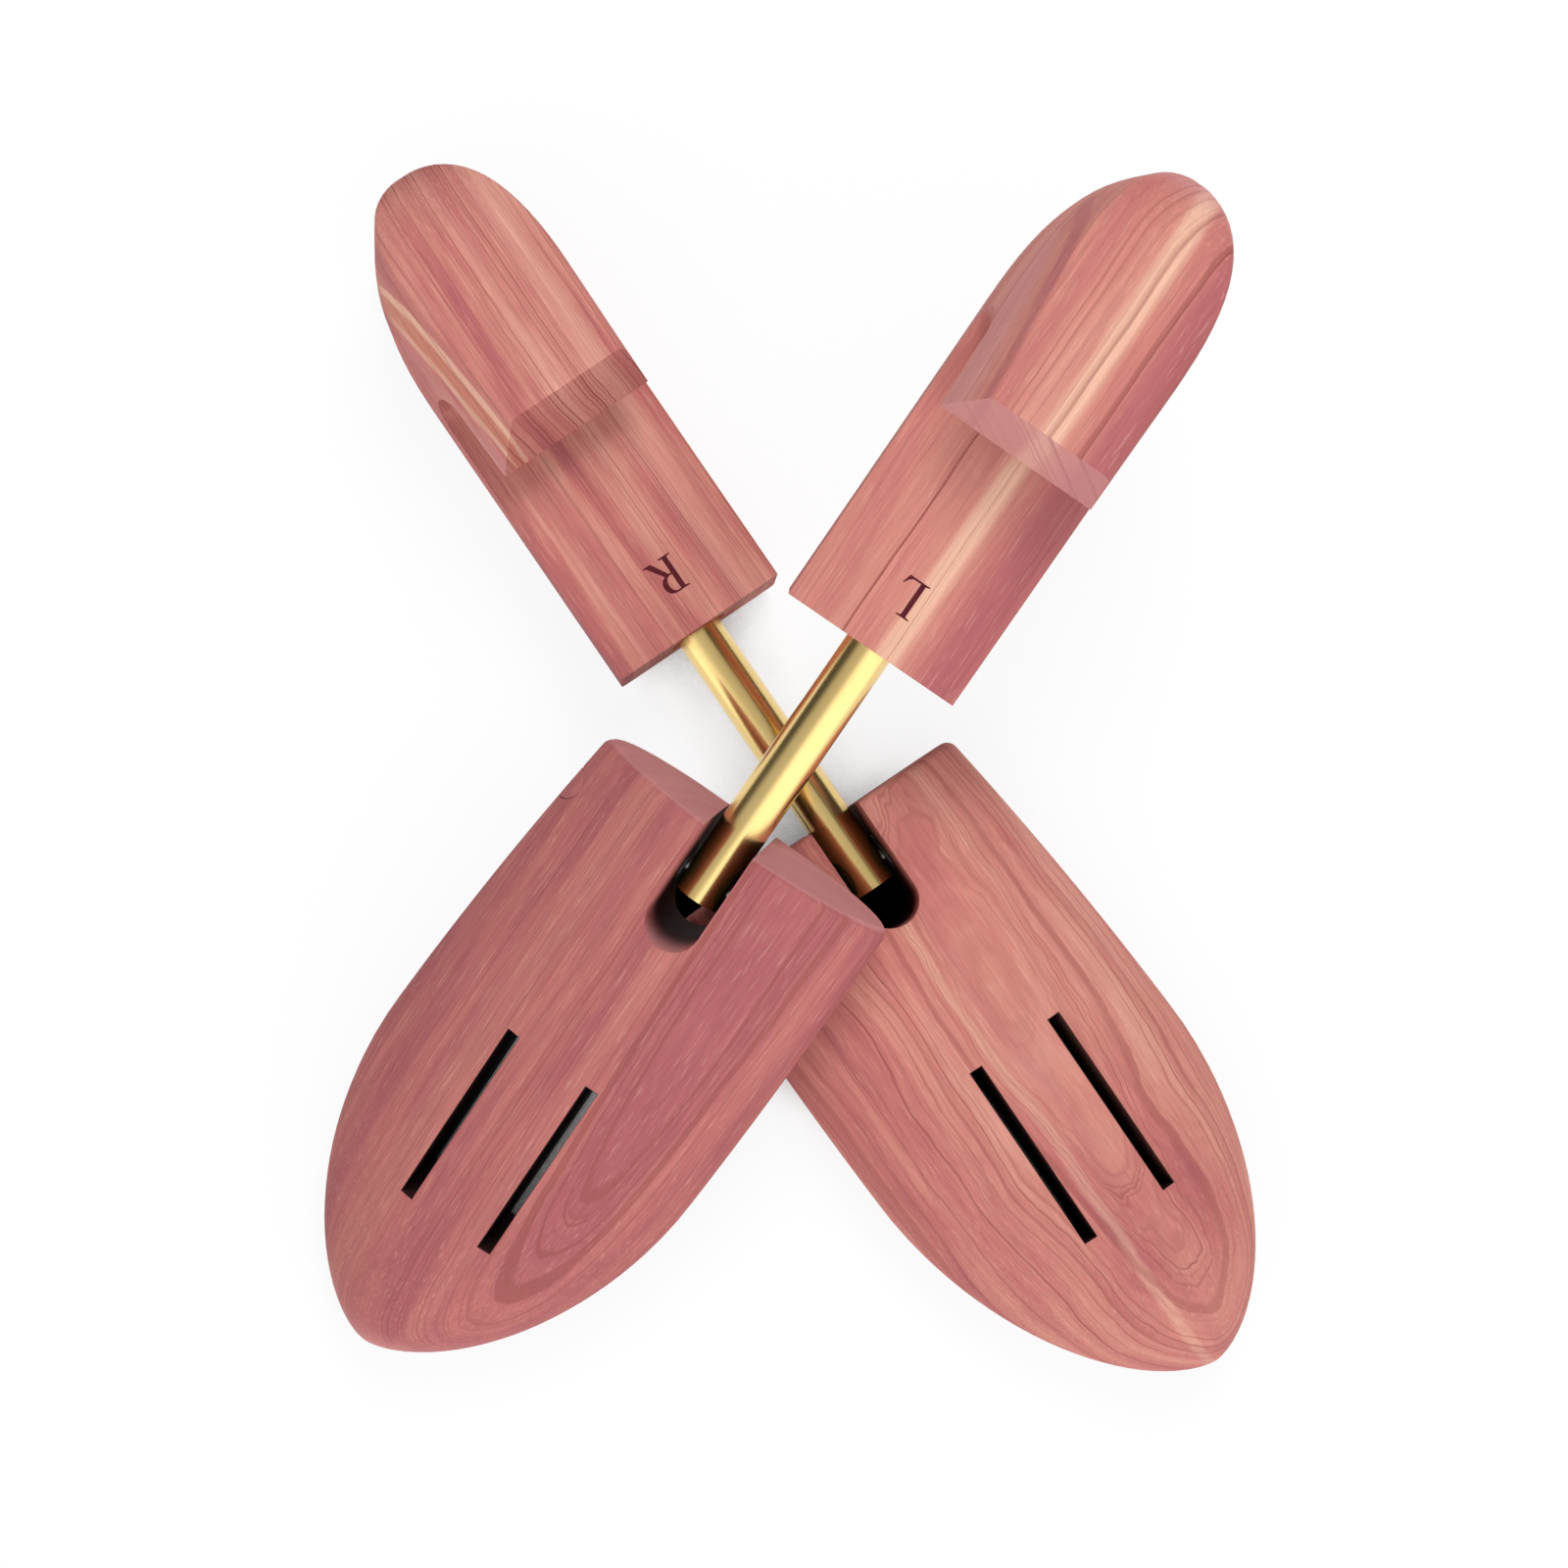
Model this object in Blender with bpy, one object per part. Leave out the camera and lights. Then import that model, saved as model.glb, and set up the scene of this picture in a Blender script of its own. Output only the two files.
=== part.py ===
"""A pair of sprung cedar shoe trees, one lying across the other.

World: +X and +Y lie in the table top, +Z is up, the right toe block stands on z = 0.
Each tree is built in its own frames. The toe frame has its origin on the pivot pin, x across the
block, +y to the toe and +z up from the sole. The tube frame turns about the pin, and the heel
frame has its origin in the middle of the heel block's front face, on the tube's axis.
Across a tree, m is the offset towards the inner side of the foot (medial), so m is x on the left
tree and -x on the right one.
"""

import math

import bpy
from mathutils import Matrix, Vector

MM = 0.001

# Fits
GAP = 0.3 * MM  # between pieces that touch in the real thing

# Tube and what is on it
TUBE_D = 11.1 * MM  # 7/16 in stock
TUBE_WALL = 0.9 * MM
TUBE_PAST_PIN = 5.0 * MM
TUBE_INSERT = 44.0 * MM  # length held in the heel block, spring relaxed
COLLAR_LENGTH = 4.0 * MM
COLLAR_WALL = 1.1 * MM

# Toe block
TOE_LENGTH = 152.0 * MM
TOE_REAR_HALF = 37.1 * MM
TOE_WIDEST_HALF = 40.3 * MM
TOE_WIDEST_Y = 80.0 * MM
TOE_HEIGHT = 30.0 * MM
TOE_DROP = 3.0 * MM  # how far the ridge has come down at the tip
TOE_SPRING_Y = 95.0 * MM  # where the sole starts to lift
TOE_SPRING = 5.0 * MM
REAR_ROUND = 4.0 * MM  # rear face: lower edge
REAR_SIDE_ROUND = 2.4 * MM
REAR_TOP_ROUND = 1.2 * MM
SOLE_FLAT = 0.35  # part of the half width that the sole is flat over
NOTCH_WIDTH = 12.7 * MM
NOTCH_LENGTH = 28.5 * MM
VENT_WIDTH = 3.1 * MM
VENT_LENGTH = 46.0 * MM
VENT_OFFSET = 10.6 * MM
VENT_CENTRE_Y = 87.0 * MM

# Pivot
PIN_D = 3.6 * MM
PIN_HALF = 20.0 * MM
PIN_INSET = 13.4 * MM  # from the toe block's rear face
PIN_HEIGHT = 15.0 * MM
WASHER_D = 10.5 * MM
PLUG_D = 8.0 * MM

# Heel block
HEEL_LENGTH = 116.5 * MM
HEEL_WIDTH = 42.4 * MM
PLATE_HEIGHT = 20.0 * MM
SLOT_HEIGHT = 12.0 * MM
HOOK_HEIGHT = 15.0 * MM
HEEL_CURVE = 42.0 * MM  # length over which the sides draw together to the rear end
HEEL_CURVE_POWER = 2.7
HEEL_BACK_ROUND = 16.0 * MM  # the top curves down over this length behind
HEEL_BACK_DROP = 8.0 * MM  # and by this much
HEEL_LOW_ROUND = 3.5 * MM
SLOT_END = 42.8 * MM  # closed end of the finger gap, from the rear end
HOOK_LIP = 66.0 * MM  # lower front edge of the hook, from the rear end
HOOK_SLANT = 7.0 * MM
FLANK_LEAN = 0.50  # part of the half width that the flank leans in at the hook's lip
SIDE_LEAN = 0.12  # and the side across from it
LEAN_POWER = 1.5  # how the lean grows with the height over the plate
EDGE = 1.6 * MM
BORE_DEPTH = 102.0 * MM
BUSH_LENGTH = 38.0 * MM
BUSH_WALL = 0.9 * MM
BRAD_D = 1.6 * MM

# Spring
SPRING_WIRE = 1.1 * MM
SPRING_COILS = 11
POINTS_PER_COIL = 10

# How the pair lies
TREES = {
    "right": {
        "sign": -1, "pin": (16.5 * MM, -19.6 * MM, PIN_HEIGHT), "heading": (0.5635, -0.8261),
        "pitch": 0.0, "roll": 0.0, "heel_drop": 1.2, "heel_turn": -1.4,
        "tube_shows": 52.2 * MM, "notch_shift": 3.9 * MM, "notch_lean": 5.5,
    },
    "left": {
        "sign": 1, "pin": (-17.5 * MM, -20.9 * MM, 41.4 * MM), "heading": (-0.5611, -0.8278),
        "pitch": 13.5, "roll": 4.0, "heel_drop": 6.9, "heel_turn": -7.5,
        "tube_shows": 48.4 * MM, "notch_shift": 1.5 * MM, "notch_lean": 0.0,
    },
}

BORE_R = TUBE_D / 2 + GAP + COLLAR_WALL + GAP
COLLAR_R = BORE_R - GAP
TUBE_END = TUBE_INSERT  # depth of the tube's inner end in the heel block


def clear_scene():
    for obj in list(bpy.data.objects):
        bpy.data.objects.remove(obj, do_unlink=True)


def material(name, colour, roughness, metallic):
    """One Principled material, made once per name."""
    found = bpy.data.materials.get(name)
    if found:
        return found
    mat = bpy.data.materials.new(name)
    mat.use_nodes = True
    shader = mat.node_tree.nodes["Principled BSDF"]
    shader.inputs["Base Color"].default_value = (*colour, 1.0)
    shader.inputs["Roughness"].default_value = roughness
    shader.inputs["Metallic"].default_value = metallic
    return mat


def cedar():
    return material("cedar", (0.55, 0.27, 0.17), 0.6, 0.0)


def cedar_plug():
    return material("cedar_plug", (0.47, 0.22, 0.14), 0.6, 0.0)


def brass():
    return material("brass", (0.78, 0.57, 0.25), 0.22, 1.0)


def steel():
    return material("steel", (0.62, 0.62, 0.63), 0.3, 1.0)


def add_solid(name, verts, faces, mat, matrix, smooth=True):
    """A named object from points and faces, with its faces turned outwards."""
    mesh = bpy.data.meshes.new(name)
    mesh.from_pydata([tuple(v) for v in verts], [], faces)
    mesh.validate()
    obj = bpy.data.objects.new(name, mesh)
    bpy.context.scene.collection.objects.link(obj)
    if mat:
        mesh.materials.append(mat)
    if signed_volume(verts, faces) < 0:
        mesh.flip_normals()
    for poly in mesh.polygons:
        poly.use_smooth = smooth
    obj.matrix_world = matrix
    return obj


def signed_volume(verts, faces):
    total = 0.0
    for face in faces:
        first = Vector(verts[face[0]])
        for i in range(1, len(face) - 1):
            total += first.dot(Vector(verts[face[i]]).cross(Vector(verts[face[i + 1]])))
    return total / 6


def loft(rings, tip=None):
    """Join rings of equal point count into a closed solid, flat at the first ring."""
    count = len(rings[0])
    verts = [p for ring in rings for p in ring]
    faces = [tuple(reversed(range(count)))]
    for k in range(len(rings) - 1):
        base, after = k * count, (k + 1) * count
        for i in range(count):
            j = (i + 1) % count
            faces.append((base + i, base + j, after + j, after + i))
    last = (len(rings) - 1) * count
    if tip is None:
        faces.append(tuple(range(last, last + count)))
    else:
        verts.append(tip)
        faces += [(last + i, last + (i + 1) % count, len(verts) - 1) for i in range(count)]
    return verts, faces


def cut(target, cutter):
    """Take one hidden cutter out of a solid."""
    cutter.hide_render = True
    cutter.display_type = "WIRE"
    step = target.modifiers.new(cutter.name, "BOOLEAN")
    step.operation = "DIFFERENCE"
    step.solver = "EXACT"
    step.object = cutter


def trim(target, shape):
    """Keep only what lies inside one hidden shape."""
    cut(target, shape)
    target.modifiers[shape.name].operation = "INTERSECT"


def circle(radius, count, at, across, up):
    """Points of a circle about a centre, in the plane of two unit directions."""
    ring = []
    for i in range(count):
        turn = 2 * math.pi * i / count
        ring.append(Vector(at) + radius * (math.cos(turn) * across + math.sin(turn) * up))
    return ring


def rod(name, radius, axis, start, end, mat, matrix, count=48):
    """A plain cylinder along one local axis, from start to end along it."""
    along = Vector(axis)
    across = Vector((0, 0, 1)) if abs(along.z) < 0.5 else Vector((1, 0, 0))
    up = along.cross(across)
    rings = [circle(radius, count, along * d, across, up) for d in (start, end)]
    verts, faces = loft(rings)
    return add_solid(name, verts, faces, mat, matrix)


def sleeve(name, outer, inner, axis, start, end, mat, matrix, count=64):
    """A hollow cylinder along one local axis."""
    along = Vector(axis)
    across = Vector((0, 0, 1)) if abs(along.z) < 0.5 else Vector((1, 0, 0))
    up = along.cross(across)
    rings = [
        circle(outer, count, along * start, across, up),
        circle(outer, count, along * end, across, up),
        circle(inner, count, along * end, across, up),
        circle(inner, count, along * start, across, up),
    ]
    verts = [p for ring in rings for p in ring]
    faces = []
    for k in range(4):
        base, after = k * count, (k + 1) % 4 * count
        for i in range(count):
            j = (i + 1) % count
            faces.append((base + i, base + j, after + j, after + i))
    return add_solid(name, verts, faces, mat, matrix)


def prism(name, outline, axis_from, axis_to, matrix):
    """A cutter: a flat outline of (x, y) points drawn out along z."""
    rings = [[Vector((x, y, z)) for x, y in outline] for z in (axis_from, axis_to)]
    verts, faces = loft(rings)
    return add_solid(name, verts, faces, None, matrix, smooth=False)


def slot_outline(x, half, y_from, y_to, count=16):
    """A slot along y with round ends. The ends' centres lie at y_from and y_to."""
    points = []
    for i in range(count + 1):
        turn = math.pi * i / count
        points.append((x + half * math.cos(turn), y_to + half * math.sin(turn)))
    for i in range(count + 1):
        turn = math.pi + math.pi * i / count
        points.append((x + half * math.cos(turn), y_from + half * math.sin(turn)))
    return points


def box_outline(x, half, y_from, y_to):
    """A slot along y with square ends."""
    return [(x - half, y_from), (x + half, y_from), (x + half, y_to), (x - half, y_to)]


def eased(length, depth, at):
    """How far a quarter ellipse, length along and depth in, stands back at a distance from its end."""
    if at >= length:
        return 0.0
    return depth * (1 - math.sqrt(1 - (1 - at / length) ** 2))


# Toe block

def toe_half_width(y):
    """Half the block's width at y from its rear face."""
    if y < TOE_WIDEST_Y:
        rest = (TOE_WIDEST_Y - y) / TOE_WIDEST_Y
        return TOE_WIDEST_HALF - (TOE_WIDEST_HALF - TOE_REAR_HALF) * rest ** 2
    rest = (y - TOE_WIDEST_Y) / (TOE_LENGTH - TOE_WIDEST_Y)
    return TOE_WIDEST_HALF * max(1 - rest ** 1.9, 0.0) ** 0.6


def toe_centre(y):
    """How far the block's middle lies to the inner side: it bends in at the toe."""
    return 0.0634 * y - 0.07 * y * y


def toe_section(y, tree):
    """One closed ring of (m, z) at y from the rear face, z from the sole."""
    lift = max(y - TOE_SPRING_Y, 0.0) / (TOE_LENGTH - TOE_SPRING_Y)
    close = max(1 - lift ** 4, 0.0) ** 0.5
    half = toe_half_width(y)
    side = 14.0 * MM - 5.0 * MM * (y / TOE_LENGTH) ** 1.5
    top = side + (TOE_HEIGHT - TOE_DROP * (y / TOE_LENGTH) ** 1.6 - side) * close
    bottom = side - (side - TOE_SPRING * lift ** 2) * close
    half -= eased(REAR_SIDE_ROUND, REAR_SIDE_ROUND, y)
    top -= eased(REAR_TOP_ROUND, REAR_TOP_ROUND, y)
    bottom += eased(REAR_ROUND, REAR_ROUND, y)
    ring = []
    upper, lower = 28, 9
    for i in range(upper):
        turn = math.pi * i / upper
        m = half * math.copysign(abs(math.cos(turn)) ** 1.1, math.cos(turn))
        ring.append((m, side + (top - side) * math.sin(turn) ** 1.2))
    flat = SOLE_FLAT * half
    for i in range(lower + 1):
        turn = math.pi / 2 * i / lower
        ring.append((-flat - (half - flat) * math.cos(turn), side - (side - bottom) * math.sin(turn)))
    for i in range(lower):
        turn = math.pi / 2 * (1 - i / lower)
        ring.append((flat + (half - flat) * math.cos(turn), side - (side - bottom) * math.sin(turn)))
    lean = math.tan(math.radians(tree["notch_lean"]))
    middle = toe_centre(y) - tree["notch_shift"]
    return [(m + middle + lean * (z - PIN_HEIGHT), z) for m, z in ring]


def toe_stations():
    """Distances from the rear face: close together where the outline turns."""
    rear = [REAR_ROUND * (1 - math.cos(math.pi / 2 * i / 8)) for i in range(8)]
    straight = [REAR_ROUND + (TOE_SPRING_Y - REAR_ROUND) * i / 16 for i in range(16)]
    front = TOE_LENGTH - TOE_SPRING_Y
    tip = [TOE_SPRING_Y + front * math.sin(math.pi / 2 * i / 24) for i in range(24)]
    return rear + straight + tip


def toe_blank(name, tree, toe):
    """The toe block's outer shape, before anything is cut into it."""
    rings = []
    for y in toe_stations():
        rings.append([
            Vector((tree["sign"] * m, y - PIN_INSET, z - PIN_HEIGHT))
            for m, z in toe_section(y, tree)
        ])
    tip = sum(rings[-1], Vector()) / len(rings[-1])
    tip.y = TOE_LENGTH - PIN_INSET
    verts, faces = loft(rings, tip)
    return add_solid(name, verts, faces, cedar(), toe)


def toe_block(side, tree, toe, plane):
    block = toe_blank(side + "_toe_block", tree, toe)
    high = 60 * MM
    notch = slot_outline(
        0, NOTCH_WIDTH / 2, -PIN_INSET - 20 * MM, NOTCH_LENGTH - NOTCH_WIDTH / 2 - PIN_INSET,
    )
    cut(block, prism(side + "_notch_cut", notch, -high, high, plane))
    for name, place in (("outer", -1), ("inner", 1)):
        x = tree["sign"] * (place * VENT_OFFSET + toe_centre(VENT_CENTRE_Y))
        middle = VENT_CENTRE_Y - PIN_INSET
        vent = box_outline(x, VENT_WIDTH / 2, middle - VENT_LENGTH / 2, middle + VENT_LENGTH / 2)
        cut(block, prism(side + "_vent_cut_" + name, vent, -high, high, plane))
    inward = (tree["sign"], 0, 0)
    hole = rod(
        side + "_pin_cut", PIN_D / 2 + GAP, inward, -PIN_HALF - GAP, 60 * MM, None, plane, 24,
    )
    cut(block, hole)
    seat = rod(
        side + "_plug_cut", PLUG_D / 2 + GAP, inward, PIN_HALF + GAP, 60 * MM, None, plane, 32,
    )
    cut(block, seat)
    return block


def pivot_parts(side, tree, toe, plane):
    axis = (tree["sign"], 0, 0)
    rod(side + "_pivot_pin", PIN_D / 2, axis, -PIN_HALF, PIN_HALF, steel(), plane, 32)
    clear = TUBE_D / 2 + GAP / 2
    wall = NOTCH_WIDTH / 2 - GAP / 2
    for name, place in (("inner", 1), ("outer", -1)):
        ends = (clear, wall) if place > 0 else (-wall, -clear)
        sleeve(
            side + "_" + name + "_washer", WASHER_D / 2, PIN_D / 2 + GAP, axis, *ends,
            steel(), plane, 48,
        )
    plug = rod(
        side + "_pin_plug", PLUG_D / 2, axis, PIN_HALF + 2 * GAP, 60 * MM,
        cedar_plug(), plane, 32,
    )
    trim(plug, toe_blank(side + "_plug_trim", tree, toe))


# Tube

def reach_to_heel(tree):
    """Distance from the pin to the heel block's front face."""
    return PIN_INSET + tree["tube_shows"]


def tube_parts(side, tree, tube):
    inner_end = reach_to_heel(tree) + TUBE_INSERT
    pipe = sleeve(
        side + "_tube", TUBE_D / 2, TUBE_D / 2 - TUBE_WALL, (0, 1, 0), -inner_end, TUBE_PAST_PIN,
        brass(), tube,
    )
    cross = rod(
        side + "_tube_cut", PIN_D / 2 + GAP, (1, 0, 0), -TUBE_D, TUBE_D, None, tube, 24,
    )
    cut(pipe, cross)
    sleeve(
        side + "_stop_collar", COLLAR_R, TUBE_D / 2 + GAP, (0, 1, 0),
        -inner_end, -inner_end + COLLAR_LENGTH, steel(), tube, 48,
    )


# Heel block

def heel_section(back):
    """One closed ring of (x, z) at a distance from the rear end, z from the tube's axis.

    The block is the same piece on both trees: the flank, which leans in far, is on the side of x.
    """
    low, plate = -PLATE_HEIGHT / 2, PLATE_HEIGHT / 2
    high = plate + SLOT_HEIGHT + HOOK_HEIGHT
    half = HEEL_WIDTH / 2
    if back < HEEL_CURVE:
        half *= math.sqrt(1 - ((HEEL_CURVE - back) / HEEL_CURVE) ** HEEL_CURVE_POWER)
    edge = min(EDGE, 0.3 * half)
    lean = half * math.sqrt(min(1.0, back / HOOK_LIP))
    flank_in, side_in = FLANK_LEAN * lean, SIDE_LEAN * lean
    ring = [(-half + edge, low), (-half + 0.3 * edge, low + 0.3 * edge), (-half, low + edge)]
    ring += [(-half + lean_in, z) for lean_in, z in leaning(plate, high - edge, side_in)]
    ring += [
        (-half + side_in + 0.3 * edge, high - 0.3 * edge), (-half + side_in + edge, high),
        (half - flank_in - edge, high), (half - flank_in - 0.3 * edge, high - 0.3 * edge),
    ]
    ring += [(half - lean_in, z) for lean_in, z in reversed(leaning(plate, high - edge, flank_in))]
    ring += [(half, low + edge), (half - 0.3 * edge, low + 0.3 * edge), (half - edge, low)]
    top_in = eased(HEEL_BACK_ROUND, HEEL_BACK_DROP, back)
    low_in = eased(HEEL_LOW_ROUND, HEEL_LOW_ROUND, back)
    squeeze = (high - top_in - low - low_in) / (high - low)
    return [(x, low + low_in + (z - low) * squeeze) for x, z in ring]


def leaning(bottom, top, lean, steps=4):
    """Points (inset, z) of a side that stands upright below and leans in more and more above."""
    shares = [i / steps for i in range(steps + 1)]
    return [(lean * share ** LEAN_POWER, bottom + (top - bottom) * share) for share in shares]


def heel_block(side, heel):
    first = 0.12 * MM
    steps = 24
    curved = HOOK_LIP - first
    backs = [first + curved * (1 - math.cos(math.pi / 2 * i / steps)) for i in range(steps + 1)]
    backs.append(HEEL_LENGTH)
    rings = [
        [Vector((x, back - HEEL_LENGTH, z)) for x, z in heel_section(back)]
        for back in backs
    ]
    verts, faces = loft(rings)
    block = add_solid(side + "_heel_block", verts, faces, cedar(), heel)
    cut(block, finger_gap_cutter(side, heel))
    bore = rod(
        side + "_bore_cut", BORE_R, (0, -1, 0), -5 * MM, BORE_DEPTH, None, heel, 64,
    )
    cut(block, bore)
    brad = rod(
        side + "_brad_cut", BRAD_D / 2 + GAP, (0, 0, -1), BORE_R - 1 * MM, PLATE_HEIGHT,
        None, brad_frame(heel), 16,
    )
    cut(block, brad)
    return block


def finger_gap_cutter(side, heel):
    """Everything above the plate: the finger gap and the space in front of the hook."""
    low = PLATE_HEIGHT / 2
    radius = SLOT_HEIGHT / 2
    centre = SLOT_END + radius
    outline = [(HEEL_LENGTH + 5 * MM, low), (centre, low)]
    for i in range(1, 12):
        turn = -math.pi / 2 - math.pi * i / 12
        outline.append((centre + radius * math.cos(turn), low + radius + radius * math.sin(turn)))
    outline += [(centre, low + SLOT_HEIGHT), (HOOK_LIP, low + SLOT_HEIGHT)]
    rise = HOOK_HEIGHT + 5 * MM
    outline.append((HOOK_LIP - HOOK_SLANT * rise / HOOK_HEIGHT, low + SLOT_HEIGHT + rise))
    outline.append((HEEL_LENGTH + 5 * MM, low + SLOT_HEIGHT + rise))
    wide = HEEL_WIDTH
    rings = [[Vector((x, y - HEEL_LENGTH, z)) for y, z in outline] for x in (-wide, wide)]
    verts, faces = loft(rings)
    return add_solid(side + "_gap_cut", verts, faces, None, heel, smooth=False)


def brad_frame(heel):
    return heel @ Matrix.Translation((0, -BUSH_LENGTH / 2, 0))


def heel_parts(side, heel):
    bush_r = BORE_R - GAP
    bush = sleeve(
        side + "_guide_bush", bush_r, bush_r - BUSH_WALL, (0, -1, 0), 1 * MM, 1 * MM + BUSH_LENGTH,
        brass(), heel,
    )
    hole = rod(
        side + "_bush_cut", BRAD_D / 2 + GAP, (0, 0, -1), TUBE_D / 4, BORE_R + 1 * MM,
        None, brad_frame(heel), 16,
    )
    cut(bush, hole)
    rod(
        side + "_bush_pin", BRAD_D / 2, (0, 0, -1), TUBE_D / 2 + 1.5 * GAP,
        PLATE_HEIGHT / 2 - GAP, steel(), brad_frame(heel), 16,
    )


def spring(side, heel):
    """A helix of round wire between the tube's end and the bore's end."""
    radius = BORE_R - 2 * GAP - SPRING_WIRE
    start, end = TUBE_END + GAP + SPRING_WIRE / 2, BORE_DEPTH - GAP - SPRING_WIRE / 2
    total = SPRING_COILS * POINTS_PER_COIL
    pitch = (end - start) / SPRING_COILS
    rings = []
    for i in range(total + 1):
        turn = 2 * math.pi * i / POINTS_PER_COIL
        along = -start - (end - start) * i / total
        at = Vector((radius * math.cos(turn), along, radius * math.sin(turn)))
        out = Vector((math.cos(turn), 0, math.sin(turn)))
        forward = Vector((
            -radius * 2 * math.pi * math.sin(turn), -pitch, radius * 2 * math.pi * math.cos(turn),
        )).normalized()
        rings.append(circle(SPRING_WIRE / 2, 8, at, out, forward.cross(out)))
    verts, faces = loft(rings)
    print(side, "spring's least gap to itself, mm:", round((pitch - SPRING_WIRE) / MM, 2))
    return add_solid(side + "_spring", verts, faces, steel(), heel)


# Places

def frames(tree):
    """Toe, notch plane, tube and heel frames of one tree as it lies."""
    dx, dy = tree["heading"]
    turn = math.atan2(-dx, dy)
    toe = (
        Matrix.Translation(tree["pin"])
        @ Matrix.Rotation(turn, 4, "Z")
        @ Matrix.Rotation(-math.radians(tree["pitch"]), 4, "X")
        @ Matrix.Rotation(math.radians(tree["roll"]), 4, "Y")
    )
    plane = toe @ Matrix.Rotation(tree["sign"] * math.radians(tree["notch_lean"]), 4, "Y")
    tube = plane @ Matrix.Rotation(math.radians(tree["heel_drop"]), 4, "X")
    heel = (
        tube
        @ Matrix.Rotation(tree["sign"] * math.radians(tree["heel_turn"]), 4, "Y")
        @ Matrix.Translation((0, -reach_to_heel(tree), 0))
    )
    return toe, plane, tube, heel


def shoe_tree(side, tree):
    toe, plane, tube, heel = frames(tree)
    toe_block(side, tree, toe, plane)
    pivot_parts(side, tree, toe, plane)
    tube_parts(side, tree, tube)
    heel_block(side, heel)
    heel_parts(side, heel)
    spring(side, heel)


def main():
    clear_scene()
    for side, tree in TREES.items():
        shoe_tree(side, tree)


main()
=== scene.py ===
"""Two red cedar shoe trees lying crossed on a white table, seen from straight above."""

import math

import bpy
import numpy as np
from mathutils import Matrix, Vector


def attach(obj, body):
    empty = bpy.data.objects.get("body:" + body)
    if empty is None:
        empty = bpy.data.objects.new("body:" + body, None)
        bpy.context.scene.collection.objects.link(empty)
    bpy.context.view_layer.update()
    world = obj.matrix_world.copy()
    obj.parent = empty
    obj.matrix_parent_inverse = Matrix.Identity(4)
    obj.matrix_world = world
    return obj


MM = 0.001

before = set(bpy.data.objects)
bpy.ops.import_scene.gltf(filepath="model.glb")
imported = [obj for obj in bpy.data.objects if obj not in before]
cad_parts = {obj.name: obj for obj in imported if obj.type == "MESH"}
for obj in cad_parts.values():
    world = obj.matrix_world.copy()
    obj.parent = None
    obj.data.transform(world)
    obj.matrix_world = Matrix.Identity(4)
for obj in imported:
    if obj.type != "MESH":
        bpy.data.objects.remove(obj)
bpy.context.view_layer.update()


# How each tree lies: its own frames have y toward the toe and z up from the sole. Lengths are
# millimetres and angles degrees. sign is 1 where the inner side is toward x, heading points toward the
# toe, lean tips the plane that the tube swings in, heel_drop bends the tree at the pin, heel_turn rolls
# the heel block about the tube, and reach is the distance from the pin to the heel block.

TREES = {
    "right": {
        "sign": -1, "pin": (16.5, -19.6, 15.0), "heading": (0.5635, -0.8261), "pitch": 0.0,
        "roll": 0.0, "lean": 5.5, "heel_drop": 1.2, "heel_turn": -1.4, "reach": 65.6,
    },
    "left": {
        "sign": 1, "pin": (-17.5, -20.9, 41.4), "heading": (-0.5611, -0.8278), "pitch": 13.5,
        "roll": 4.0, "lean": 0.0, "heel_drop": 6.9, "heel_turn": -7.5, "reach": 61.8,
    },
}


def places(tree):
    """Toe, tube and heel frames: the pin's place is turned to the heading, tipped, then bent at the pin."""
    dx, dy = tree["heading"]
    toe = (
        Matrix.Translation([c * MM for c in tree["pin"]])
        @ Matrix.Rotation(math.atan2(-dx, dy), 4, "Z")
        @ Matrix.Rotation(-math.radians(tree["pitch"]), 4, "X")
        @ Matrix.Rotation(math.radians(tree["roll"]), 4, "Y")
    )
    plane = toe @ Matrix.Rotation(tree["sign"] * math.radians(tree["lean"]), 4, "Y")
    tube = plane @ Matrix.Rotation(math.radians(tree["heel_drop"]), 4, "X")
    heel = (
        tube
        @ Matrix.Rotation(tree["sign"] * math.radians(tree["heel_turn"]), 4, "Y")
        @ Matrix.Translation((0, -tree["reach"] * MM, 0))
    )
    return {"toe": toe, "tube": tube, "heel": heel}


PLACES = {side: places(tree) for side, tree in TREES.items()}


# Shader arithmetic

class Signal:
    """A value that changes over a surface. Arithmetic on it adds nodes to its finish."""

    def __init__(self, finish, socket):
        self.finish, self.socket = finish, socket

    def __add__(self, other):
        return self.finish.math("ADD", self, other)

    def __sub__(self, other):
        return self.finish.math("SUBTRACT", self, other)

    def __rsub__(self, other):
        return self.finish.math("SUBTRACT", other, self)

    def __mul__(self, other):
        return self.finish.math("MULTIPLY", self, other)

    def __truediv__(self, other):
        return self.finish.math("DIVIDE", self, other)

    __radd__, __rmul__ = __add__, __mul__


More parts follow.
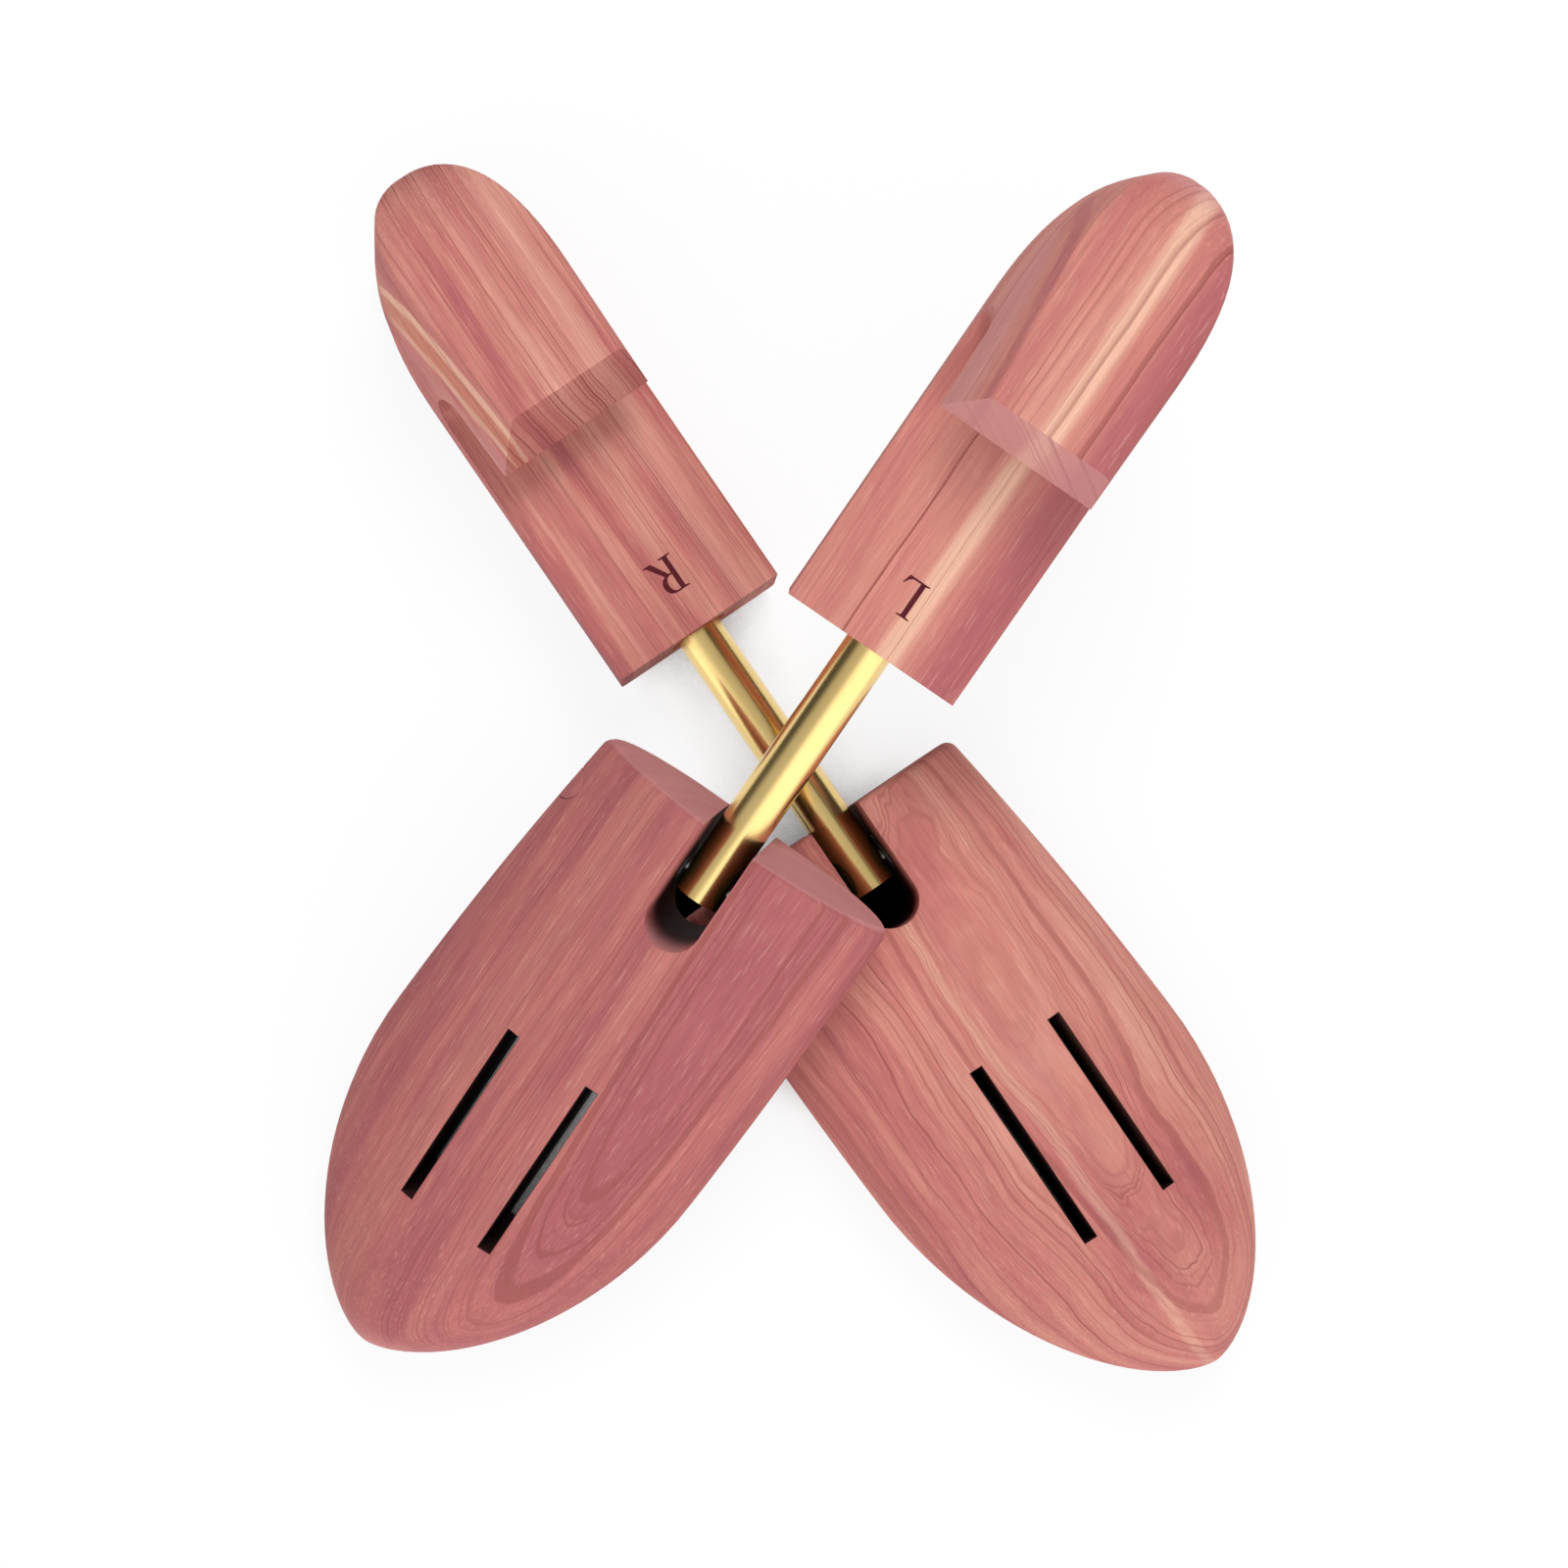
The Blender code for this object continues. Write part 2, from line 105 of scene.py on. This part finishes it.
class Finish:
    """A node tree under construction: a material's, or the world's."""

    def __init__(self, name, owner=None):
        self.owner = owner or bpy.data.materials.new(name)
        self.owner.use_nodes = True
        self.tree = self.owner.node_tree

    def node(self, kind, settings=(), inputs=(), output=0):
        """Adds a node: its settings first, then a value or a link for each input. Returns one output."""
        node = self.tree.nodes.new("ShaderNode" + kind)
        for name, value in dict(settings).items():
            if name == "stops":
                ramp = node.color_ramp.elements
                while len(ramp) < len(value):
                    ramp.new(0.5)
                for element, (place, colour) in zip(ramp, value):
                    element.position, element.color = place, (*colour, 1)
            else:
                setattr(node, name, value)
        for name, value in dict(inputs).items():
            self.feed(node.inputs[name], value)
        return Signal(self, node.outputs[output])

    def feed(self, socket, value):
        if isinstance(value, Signal):
            self.tree.links.new(value.socket, socket)
        elif socket.type == "RGBA" and len(value) == 3:
            socket.default_value = (*value, 1)
        else:
            socket.default_value = value

    def math(self, operation, *values):
        return self.node("Math", {"operation": operation}, dict(enumerate(values)))

    def vector(self, operation, *values, output=0):
        return self.node("VectorMath", {"operation": operation}, dict(enumerate(values)), output)

    def step(self, value, low, high):
        """0 below low, 1 above high, and smooth between them."""
        return self.node(
            "MapRange", {"interpolation_type": "SMOOTHSTEP"},
            {"Value": value, "From Min": low, "From Max": high},
        )

    def blend(self, share, a, b, mode="MIX"):
        """Colour a, taken toward colour b by share."""
        return self.node("Mix", {"data_type": "RGBA", "blend_type": mode}, {0: share, 6: a, 7: b}, 2)

    def noise(self, at, stretch, seed, detail=2.0, rough=0.5, output=0):
        """Noise whose features are about 1 / stretch long along each axis."""
        moved = self.vector("MULTIPLY_ADD", at, stretch, (seed, seed * 1.7, seed * 2.3))
        return self.node(
            "TexNoise", {}, {"Vector": moved, "Scale": 1.0, "Detail": detail, "Roughness": rough}, output,
        )

    def place(self, frame_of_piece):
        """The point in millimetres in a piece's own frame."""
        point = self.node("TexCoord", {}, {}, 3)
        return self.node(
            "Mapping", {"vector_type": "TEXTURE"},
            {
                "Vector": point, "Location": frame_of_piece.translation,
                "Rotation": frame_of_piece.to_euler(), "Scale": (MM, MM, MM),
            },
        )

    def split(self, vector):
        """The vector's three parts."""
        node = self.node("SeparateXYZ", {}, {0: vector}).socket.node
        return [Signal(self, out) for out in node.outputs]

    def bump(self, height, depth):
        """A normal dented by height, whose full range is depth metres."""
        return self.node("Bump", {}, {"Height": height, "Strength": 1.0, "Distance": depth})

    def shade(self, **sockets):
        """Sets the Principled shader's sockets, whose names are written with _ for a space."""
        shader = self.tree.nodes["Principled BSDF"]
        for name, value in sockets.items():
            self.feed(shader.inputs[name.replace("_", " ")], value)
        return self.owner


# Cedar

PLUM = (0.405, 0.118, 0.128)
ROSE = (0.500, 0.165, 0.150)
SALMON = (0.580, 0.228, 0.185)
BLUSH = (0.680, 0.330, 0.265)
SAP = (0.790, 0.480, 0.350)
RUST = (0.560, 0.210, 0.120)
GREY_PINK = (0.560, 0.265, 0.265)
LATE = (0.270, 0.070, 0.062)
# Painted shade: the near black laid on the deep walls of the notches and vents
PAINTED_DEEP_SHADE = (0.010, 0.003, 0.003)

# Places below are millimetres in the block's own frame

SLOW_SIZE = 28.0  # the slow bends of the rings, across the grain
QUICK_SIZE = 6.0  # the quick ones
RING_WANDER = 1.8  # how many rings and threads uneven growth shifts their count by
THREAD_WANDER = 4.0

# The notch and the vents, whose walls are coloured darker with depth as painted shade
NOTCH = (0.0, 6.35, -40.0, 15.1, 0.0, 15.0)  # middle, half width, back, front, dark z and light z
VENT = (1.55, 50.6, 96.6, 12.0, 26.0)  # the same without its middle
VENT_OFFSET = 10.6  # from the block's middle line to a vent's
VENT_MIDDLE_LINE = 4.99  # where that line runs at the vents, toward the inner side

HEEL_LENGTH = 116.5
RIDGE_START = 21.2
RIDGE_BEND = 10.6
RIDGE_RUN = 66.0
RIDGE_HEIGHT = (14.0, 24.0)

PLAIN = dict(
    wave=4.0, run=110.0, ripple=0.7, thread_spacing=0.9, threads=0.46, lines=1.0, tone=0.0,
    tilt=0.0, contrast=0.9, depth=1.0, end=(PLUM, 0.2), end_lines=0.0, lean=0.0, hollows=[],
    streaks=[], ridges=[],
)


def vents(sign):
    """The two vents of the toe block whose inner side is toward sign x."""
    return [(sign * (way * VENT_OFFSET + VENT_MIDDLE_LINE), *VENT) for way in (-1, 1)]


def bend(f, at, wood):
    """The point moved across the grain by slow noise, wave long, and by quicker noise, ripple long."""
    seed, run = wood["seed"], wood["run"]
    slow = f.noise(at, (1 / SLOW_SIZE, 1 / run, 1 / SLOW_SIZE), seed, 1.0, output=1)
    quick = f.noise(at, (1 / QUICK_SIZE, 5 / run, 1 / QUICK_SIZE), seed + 5, 2.0, output=1)
    for drift, size in ((slow, wood["wave"]), (quick, wood["ripple"])):
        drift = f.vector("SUBTRACT", drift, (0.5, 0.5, 0.5))
        at = f.vector("MULTIPLY_ADD", drift, (size, 0, size), at)
    return at


def rings(f, count, shift=0.0):
    """How far through its ring each point is, and a random level from 0 to 1 for each whole ring."""
    level = f.node("TexWhiteNoise", {"noise_dimensions": "1D"}, {"W": f.math("FLOOR", count) + shift})
    return f.math("FRACT", count), level


def base_colour(f, x, y, reach, wood):
    """Plum to blush by noise that is long along the rings, shifted by tone and across the block by tilt."""
    drift = f.node("CombineXYZ", {}, {0: reach * 0.16 + wood["seed"] * 3.0, 1: y * 0.012})
    zone = f.node(
        "TexNoise", {"noise_dimensions": "2D"},
        {"Vector": drift, "Scale": 1.0, "Detail": 5.0, "Roughness": 0.62},
    )
    zone = (zone - 0.5) * wood["contrast"] + 0.5 + wood["tone"] + x * wood["tilt"]
    stops = [(0.28, PLUM), (0.44, ROSE), (0.58, SALMON), (0.80, BLUSH)]
    return f.node("ValToRGB", {"stops": stops}, {0: zone})


def streaked(f, colour, x, y, z, wood):
    """Streaks are soft bands of other wood at a fixed x; ridges are bands of colour set beside the heel's
    ridge line, on its crease and flank.
    """
    for middle, half, tint, strength in wood["streaks"]:
        inside = 1 - f.step(f.math("ABSOLUTE", x - middle), half * 0.25, half)
        colour = f.blend(inside * strength, colour, tint)
    for inset, half, tint, strength in wood["ridges"]:
        off = f.math("ABSOLUTE", x - ridge_line(f, y) - inset)
        inside = (1 - f.step(off, half * 0.4, half)) * f.step(z, *RIDGE_HEIGHT)
        colour = f.blend(inside * strength, colour, tint)
    return colour


def ridge_line(f, y):
    """Where across the heel its top meets the leaning flank: start - bend sqrt(way from rear / run)."""
    back = f.math("MAXIMUM", y + HEEL_LENGTH, 0.0)
    return RIDGE_START - f.math("SQRT", back / RIDGE_RUN) * RIDGE_BEND


def hollow_shade(f, at, lean, hollows):
    """How much painted shade the walls of upright cuts take: none above their light z and most below their
    dark z.

    The cuts lean with x = lean z. Each hollow is (middle, half width, back, front, dark z, light z).
    """
    x, y, z = f.split(at)
    x = x - z * lean
    shade = 0.0
    for middle, half, back, front, dark, light in hollows:
        beside = f.math("ABSOLUTE", x - middle) - half
        beyond = f.math("ABSOLUTE", y - (back + front) / 2) - (front - back) / 2
        inside = 1 - f.step(f.math("MAXIMUM", beside, beyond), 0.0, 0.2)
        shade = f.math("MAXIMUM", inside * (1 - f.step(z, dark, light)), shade)
    return shade * 0.94


def cedar(name, place, wood):
    """Red cedar as solid wood: growth rings are cylinders round a pith line along the grain.

    The ring number is the bent point's distance to the pith over the spacing. Each ring darkens toward
    its late wood and ends in a thin line, some lines stronger than others. Finer threads of the same kind
    run between them. The base colour runs from plum to blush, with streaks of other wood in it. Fibres
    are noise stretched along the grain, with short pale flecks between them. Faces cut across the grain
    take the end tint, and the walls of hollows are coloured darker with depth as painted shade.
    """
    wood = {**PLAIN, **wood}
    seed = wood["seed"]
    f = Finish(name)
    at = f.place(place)
    x, y, z = f.split(bend(f, at, wood))
    across, above = x - wood["pith"][0], z - wood["pith"][1]
    reach = f.math("SQRT", across * across + above * above)
    uneven = f.node(
        "TexNoise", {"noise_dimensions": "1D"}, {"W": reach * 0.3 + seed, "Scale": 1.0, "Detail": 1.0},
    )
    part, level = rings(f, reach / wood["spacing"] + uneven * RING_WANDER)
    fine_part, fine_level = rings(f, reach / wood["thread_spacing"] + uneven * THREAD_WANDER, 0.5)
    colour = streaked(f, base_colour(f, x, y, reach, wood), x, y, z, wood)

    fibre = f.noise(at, (1.4, 0.03, 1.4), seed + 1, 3.0, 0.65)
    hair = f.noise(at, (4.5, 0.10, 4.5), seed + 2, 2.0, 0.6)
    fleck = f.step(f.noise(at, (3.2, 0.12, 3.2), seed + 3, 1.0), 0.60, 0.72)
    grey = (0.60 + fibre * 0.42 + hair * 0.36) * wood["depth"]
    colour = f.blend(1.0, colour, f.node("CombineXYZ", {}, {0: grey, 1: grey, 2: grey}), "MULTIPLY")
    colour = f.blend(fleck * 0.20, colour, SAP)

    grain = place.to_3x3() @ Vector((0, 1, 0))
    normal = f.node("TexCoord", {}, {}, 1)
    end = f.step(f.math("ABSOLUTE", f.vector("DOT_PRODUCT", normal, grain, output=1)), 0.45, 0.90)
    strong = 1 + end * wood["end_lines"]
    line = f.step(part, 0.84, 0.95) - f.step(part, 0.97, 1.0)
    line = line * (0.14 + level * 0.72) * strong * wood["lines"]
    thread = f.step(fine_part, 0.62, 0.86) - f.step(fine_part, 0.90, 1.0)
    thread = thread * fine_level * strong * wood["threads"]
    late = part * part * part * (0.03 + level * 0.09)
    dark = f.math("MAXIMUM", f.math("MAXIMUM", line, thread), late) * (0.40 + fibre * 1.15)
    colour = f.blend(f.math("MINIMUM", dark, 0.9), colour, LATE)
    end_tint, end_strength = wood["end"]
    colour = f.blend(end * end_strength, colour, end_tint)
    # Painted shade: the walls of the notch and vents are coloured toward near black with depth
    if wood["hollows"]:
        colour = f.blend(hollow_shade(f, at, wood["lean"], wood["hollows"]), colour, PAINTED_DEEP_SHADE)
    height = fibre * 0.5 + hair * 0.5 - line * 0.4
    return f.shade(
        Base_Color=colour, Roughness=0.58 + hair * 0.2 - line * 0.1, Specular_IOR_Level=0.12,
        Normal=f.bump(height, 0.12 * MM),
    )


def burnt(name, place):
    """Letter scorched into the wood: almost black brown, with the grain still faintly in it."""
    f = Finish(name)
    grain = f.noise(f.place(place), (2.0, 0.2, 2.0), 3.0)
    colour = f.blend(grain, (0.050, 0.006, 0.010), (0.130, 0.022, 0.028))
    return f.shade(
        Base_Color=colour, Roughness=0.9, Specular_IOR_Level=0.1, Normal=f.bump(grain, 0.05 * MM),
    )


# Metal

def brass(name, place, worn=0.0, seam=None):
    """Polished drawn brass: fine lines along it, a little haze, and a faint seam on top at x = seam."""
    f = Finish(name)
    at = f.place(place)
    drawn = f.noise(at, (5.0, 0.02, 5.0), 2.0, 2.0)
    haze = f.noise(at, (0.25, 0.06, 0.25), 8.0, 3.0)
    colour = f.blend(haze, (0.900, 0.680, 0.290), (0.840, 0.590, 0.210))
    if seam is not None:
        x, _, z = f.split(at)
        groove = (1 - f.step(f.math("ABSOLUTE", x - seam), 0.12, 0.30)) * f.step(z, 0.0, 1.0)
        colour = f.blend(groove * 0.45, colour, (0.36, 0.20, 0.04))
    return f.shade(
        Base_Color=colour, Metallic=1.0, Roughness=0.17 + drawn * 0.06 + haze * (0.08 + worn),
        Coat_Weight=0.35, Coat_Roughness=0.08, Normal=f.bump(drawn, 0.004 * MM),
    )


def steel(name, place, bright=0.62, dulled=0.0):
    """Plain steel with turning marks and a few dull patches."""
    f = Finish(name)
    at = f.place(place)
    marks = f.noise(at, (3.0, 3.0, 3.0), 4.0, 3.0)
    dull = f.noise(at, (0.4, 0.4, 0.4), 6.0, 2.0)
    clean = (bright, bright * 0.985, bright * 0.96)
    colour = f.blend(dull, clean, (bright * 0.7, bright * 0.68, bright * 0.65))
    return f.shade(
        Base_Color=colour, Metallic=1.0, Roughness=0.22 + dulled + dull * 0.16,
        Normal=f.bump(marks, 0.01 * MM),
    )


# Letters

LETTER_HEIGHT = 8.6 * MM
LETTER_FACE = 10.0 * MM  # the plate's top over the tube's axis
LETTER_PROUD = 0.03 * MM
LETTER_MIDDLES = {"right": (-0.4, -13.5), "left": (0.2, -13.7)}  # in the heel's frame, mm

OUTLINES = {
    "right": [
        [
            (0.02, 0.0), (0.38, 0.0), (0.38, 0.03), (0.27, 0.055), (0.27, 0.47), (0.34, 0.47),
            (0.60, 0.02), (0.62, 0.0), (0.84, 0.0), (0.84, 0.03), (0.76, 0.05), (0.475, 0.49),
            (0.57, 0.54), (0.63, 0.63), (0.65, 0.74), (0.63, 0.85), (0.57, 0.94), (0.47, 0.99),
            (0.36, 1.0), (0.02, 1.0), (0.02, 0.97), (0.13, 0.945), (0.13, 0.055), (0.02, 0.03),
        ],
        [
            (0.27, 0.52), (0.34, 0.52), (0.43, 0.55), (0.485, 0.64), (0.50, 0.74), (0.485, 0.85),
            (0.43, 0.93), (0.34, 0.955), (0.27, 0.955),
        ],
    ],
    "left": [
        [
            (0.02, 0.0), (0.62, 0.0), (0.68, 0.25), (0.65, 0.25), (0.58, 0.12), (0.50, 0.06),
            (0.40, 0.05), (0.27, 0.05), (0.27, 0.945), (0.38, 0.97), (0.38, 1.0), (0.02, 1.0),
            (0.02, 0.97), (0.13, 0.945), (0.13, 0.055), (0.02, 0.03),
        ],
    ],
}


def letter(side):
    """A flat letter lying on the heel's plate: its outline in letter heights, filled and thickened."""
    curve = bpy.data.curves.new(side + "_letter_outline", "CURVE")
    curve.dimensions, curve.fill_mode, curve.extrude = "2D", "BOTH", LETTER_PROUD
    for outline in OUTLINES[side]:
        points = np.array(outline) * LETTER_HEIGHT
        points -= np.array((0.4, 0.5)) * LETTER_HEIGHT
        spline = curve.splines.new("POLY")
        spline.points.add(len(points) - 1)
        flat = np.hstack([points, np.zeros((len(points), 1)), np.ones((len(points), 1))])
        spline.points.foreach_set("co", flat.ravel())
        spline.use_cyclic_u = True
    holder = bpy.data.objects.new(side + "_letter_holder", curve)
    bpy.context.scene.collection.objects.link(holder)
    filled = holder.evaluated_get(bpy.context.evaluated_depsgraph_get())
    mesh = bpy.data.meshes.new_from_object(filled)
    bpy.data.objects.remove(holder)
    x, y = LETTER_MIDDLES[side]
    mesh.transform(PLACES[side]["heel"] @ Matrix.Translation((x * MM, y * MM, LETTER_FACE)))
    mesh.materials.clear()
    mesh.materials.append(burnt(side + "_burnt", PLACES[side]["heel"]))
    piece = bpy.data.objects.new(side + "_letter", mesh)
    bpy.context.scene.collection.objects.link(piece)
    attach(piece, side + "_heel")


# Dressing the solids

WELD_GAP = 0.002 * MM
CREASE = math.radians(28)
EASE = 0.35 * MM  # how far the edges of the wooden blocks are eased


def dress(node, material, ease=0.0):
    """Puts a material on a solid. Its triangles are joined and its curved faces shaded smooth."""
    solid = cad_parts[node]
    solid.data.materials.clear()
    solid.data.materials.append(material)
    solid.data.polygons.foreach_set("use_smooth", [True] * len(solid.data.polygons))
    weld = solid.modifiers.new("joined", "WELD")
    weld.merge_threshold = WELD_GAP
    if ease:
        bevel = solid.modifiers.new("eased", "BEVEL")
        bevel.width, bevel.segments, bevel.limit_method = ease, 2, "ANGLE"
        bevel.angle_limit = CREASE
    split = solid.modifiers.new("creased", "EDGE_SPLIT")
    split.split_angle = CREASE


SEAMS = {"right": -0.9, "left": None}  # the faint seam on a tube, mm from its middle

# Streaks are (middle x, half width, tint, strength), ridges the same from the ridge line, pith is (x, z)

WOODS = {
    "left_toe_block": dict(
        pith=(-22.0, 23.0), spacing=2.7, thread_spacing=0.95, threads=0.66, lines=0.75, wave=5.0,
        tone=-0.15, contrast=0.65, depth=0.92, seed=3.1, end=(GREY_PINK, 0.55),
        hollows=[NOTCH, *vents(1)],
        streaks=[(20.0, 6.0, SALMON, 0.40), (-2.0, 3.0, SALMON, 0.30), (-14.0, 4.0, PLUM, 0.30)],
    ),
    "right_toe_block": dict(
        pith=(-16.0, 35.0), spacing=2.6, wave=10.0, run=52.0, ripple=1.5, tone=0.02, tilt=-0.0014,
        depth=0.97, seed=7.4, end=(PLUM, 0.3), lean=-0.096, hollows=[NOTCH, *vents(-1)],
        streaks=[(-1.0, 2.2, SAP, 0.35), (-7.0, 3.0, PLUM, 0.25), (14.0, 5.0, SALMON, 0.3)],
    ),
    "right_heel_block": dict(
        pith=(120.0, 10.0), spacing=2.6, thread_spacing=0.9, threads=0.60, tone=0.03,
        tilt=-0.003, contrast=1.15, depth=0.93, seed=11.9, end=(LATE, 0.32), end_lines=1.6,
        streaks=[(-3.0, 2.5, BLUSH, 0.25), (-12.0, 4.0, BLUSH, 0.45), (12.0, 5.0, ROSE, 0.40)],
        ridges=[
            (0.4, 0.7, SAP, 0.75), (3.0, 0.6, SAP, 0.55), (1.8, 1.3, RUST, 0.55), (7.0, 3.5, GREY_PINK, 0.6),
        ],
    ),
    "left_heel_block": dict(
        pith=(90.0, -60.0), spacing=5.6, thread_spacing=1.3, threads=0.22, lines=1.2, wave=3.0,
        tone=0.05, contrast=0.6, depth=0.95, seed=16.2, end=(GREY_PINK, 0.60), end_lines=1.0,
        streaks=[(-3.6, 3.8, SAP, 0.85), (-17.0, 8.5, PLUM, 0.95), (-10.0, 2.5, ROSE, 0.4)],
        ridges=[(0.2, 1.5, PLUM, 0.60), (6.0, 4.5, GREY_PINK, 0.55)],
    ),
}


def dress_tree(side):
    """Materials for the eleven solids of one tree, each in the frame of the piece that it moves with."""
    at = PLACES[side]
    for block in ("toe", "heel"):
        node = f"{side}_{block}_block"
        dress(node, cedar(node + "_cedar", at[block], WOODS[node]), EASE)
    plug = dict(WOODS[side + "_toe_block"], seed=21.0, streaks=[])
    dress(side + "_pin_plug", cedar(side + "_plug_cedar", at["toe"], plug))
    dress(side + "_tube", brass(side + "_tube_brass", at["tube"], seam=SEAMS[side]))
    dress(side + "_stop_collar", steel(side + "_collar_steel", at["tube"], 0.6, 0.1))
    dress(side + "_guide_bush", brass(side + "_bush_brass", at["heel"], 0.1))
    dress(side + "_spring", steel(side + "_spring_steel", at["heel"], 0.5))
    dress(side + "_pivot_pin", steel(side + "_pin_steel", at["toe"], 0.3))
    dress(side + "_bush_pin", steel(side + "_brad_steel", at["heel"]))
    # The washers' steel is coloured nearly black (bright 0.07): painted shade of the deep notch they sit in
    washers = steel(side + "_washer_steel", at["toe"], 0.07, 0.2)
    for which in ("inner", "outer"):
        dress(f"{side}_{which}_washer", washers)


for side in TREES:
    dress_tree(side)
    letter(side)


# Table, light and camera

FLOOR_HALF = 4.0
FLOOR_DROP = 0.1 * MM
FLOOR_WHITE = 0.93
FLOOR_GLOW = 0.87  # the share of the open table that is plain white to the eye
SHADE_REACH = 60 * MM  # how far the table looks for something that shades it
# Painted shade on the table deep below the two notches: x, y, where it starts to fade and where it ends,
# mm.
PAINTED_NOTCH_SHADES = ((-21.6, -28.2, 4.0, 12.0), (27.2, -30.9, 9.0, 15.0))


def table():
    """A white floor, plain white in part to the eye and to bright metal, which keeps its shadows faint.

    Where things shade it closely, and below the notches, its colour is painted darker as shade and that
    plain white goes.
    """
    corners = np.array([(-1, -1), (1, -1), (1, 1), (-1, 1)]) * FLOOR_HALF
    mesh = bpy.data.meshes.new("table")
    mesh.from_pydata([(x, y, -FLOOR_DROP) for x, y in corners], [], [(0, 1, 2, 3)])
    f = Finish("table_white")
    open_sky = f.node("AmbientOcclusion", {"samples": 16}, {"Distance": SHADE_REACH}, 1)
    x, y, _ = f.split(f.node("TexCoord", {}, {}, 3))
    # Painted shade: discs below the notches count as closed in, so the table's colour and its plain white
    # go there
    for hollow_x, hollow_y, near, far in PAINTED_NOTCH_SHADES:
        east, north = x / MM - hollow_x, y / MM - hollow_y
        open_sky = open_sky * f.step(f.math("SQRT", east * east + north * north), near, far)
    # Painted shade: the table's own colour is taken darker where something closes it in
    pale = f.step(open_sky, 0.05, 0.35) * FLOOR_WHITE
    f.shade(
        Base_Color=f.node("CombineXYZ", {}, {0: pale, 1: pale, 2: pale}), Roughness=1.0,
        Specular_IOR_Level=0.0,
    )
    lit = Signal(f, f.tree.nodes["Principled BSDF"].outputs[0])
    glow = f.node("Emission", {}, {"Color": (1, 1, 1), "Strength": 1.0})
    seen = plainly_seen(f) * f.step(open_sky, 0.08, 0.42) * FLOOR_GLOW
    mixed = f.node("MixShader", {}, {0: seen, 1: lit, 2: glow})
    f.feed(f.tree.nodes["Material Output"].inputs["Surface"], mixed)
    mesh.materials.append(f.owner)
    floor = bpy.data.objects.new("table", mesh)
    bpy.context.scene.collection.objects.link(floor)


def plainly_seen(f):
    """1 for rays from the eye, off a gloss or through glass, and 0 for those that carry soft light."""
    outputs = f.node("LightPath").socket.node.outputs
    rays = ("Is Camera Ray", "Is Glossy Ray", "Is Transmission Ray")
    eye, gloss, glass = (Signal(f, outputs[ray]) for ray in rays)
    return f.math("MAXIMUM", f.math("MAXIMUM", eye, gloss), glass)


SKY_LEVEL = 0.59
SKY_DARK = 0.92


def studio():
    """Soft light all round, brighter from the picture's bottom, dark from its top, white to the eye."""
    world = bpy.data.worlds.new("studio")
    bpy.context.scene.world = world
    f = Finish("studio", world)
    x, y, _ = f.split(f.node("TexCoord", {}, {}, 0))
    bright = f.step(x * 0.15 - y, 0.08, 0.35)
    dark = f.step(y, 0.24, 0.36)
    level = (SKY_LEVEL + bright) * (1 - dark * SKY_DARK)
    eye = Signal(f, f.node("LightPath").socket.node.outputs["Is Camera Ray"])
    level = level * (1 - eye) + eye
    f.feed(f.tree.nodes["Background"].inputs["Strength"], level)
    f.feed(f.tree.nodes["Background"].inputs["Color"], (1.0, 1.0, 1.0))


KEY_PLACE = Vector((0.20, 0.95, 1.15))
KEY_SIZE = 0.7
KEY_POWER = 13.0


def key_light():
    """A square softbox aimed at the middle of the table, which bright metal doesn't mirror."""
    lamp = bpy.data.lights.new("key", "AREA")
    lamp.shape, lamp.size, lamp.energy = "SQUARE", KEY_SIZE, KEY_POWER
    holder = bpy.data.objects.new("key", lamp)
    bpy.context.scene.collection.objects.link(holder)
    holder.location = KEY_PLACE
    holder.rotation_euler = (-KEY_PLACE).to_track_quat("-Z", "Y").to_euler()
    holder.visible_glossy = False


CAMERA_PLACE = (-1.2 * MM, -0.2 * MM, 700 * MM)
FRAMED_WIDTH = 364 * MM  # of the table
SENSOR = 36.0


def camera():
    """Straight above the middle of the pair, looking down."""
    lens = bpy.data.cameras.new("camera")
    lens.sensor_width = SENSOR
    lens.lens = SENSOR * CAMERA_PLACE[2] / FRAMED_WIDTH
    lens.clip_start = 0.01
    eye = bpy.data.objects.new("camera", lens)
    eye.location = CAMERA_PLACE
    bpy.context.scene.collection.objects.link(eye)
    bpy.context.scene.camera = eye


table()
studio()
key_light()
camera()
bpy.context.scene.view_settings.view_transform = "Standard"
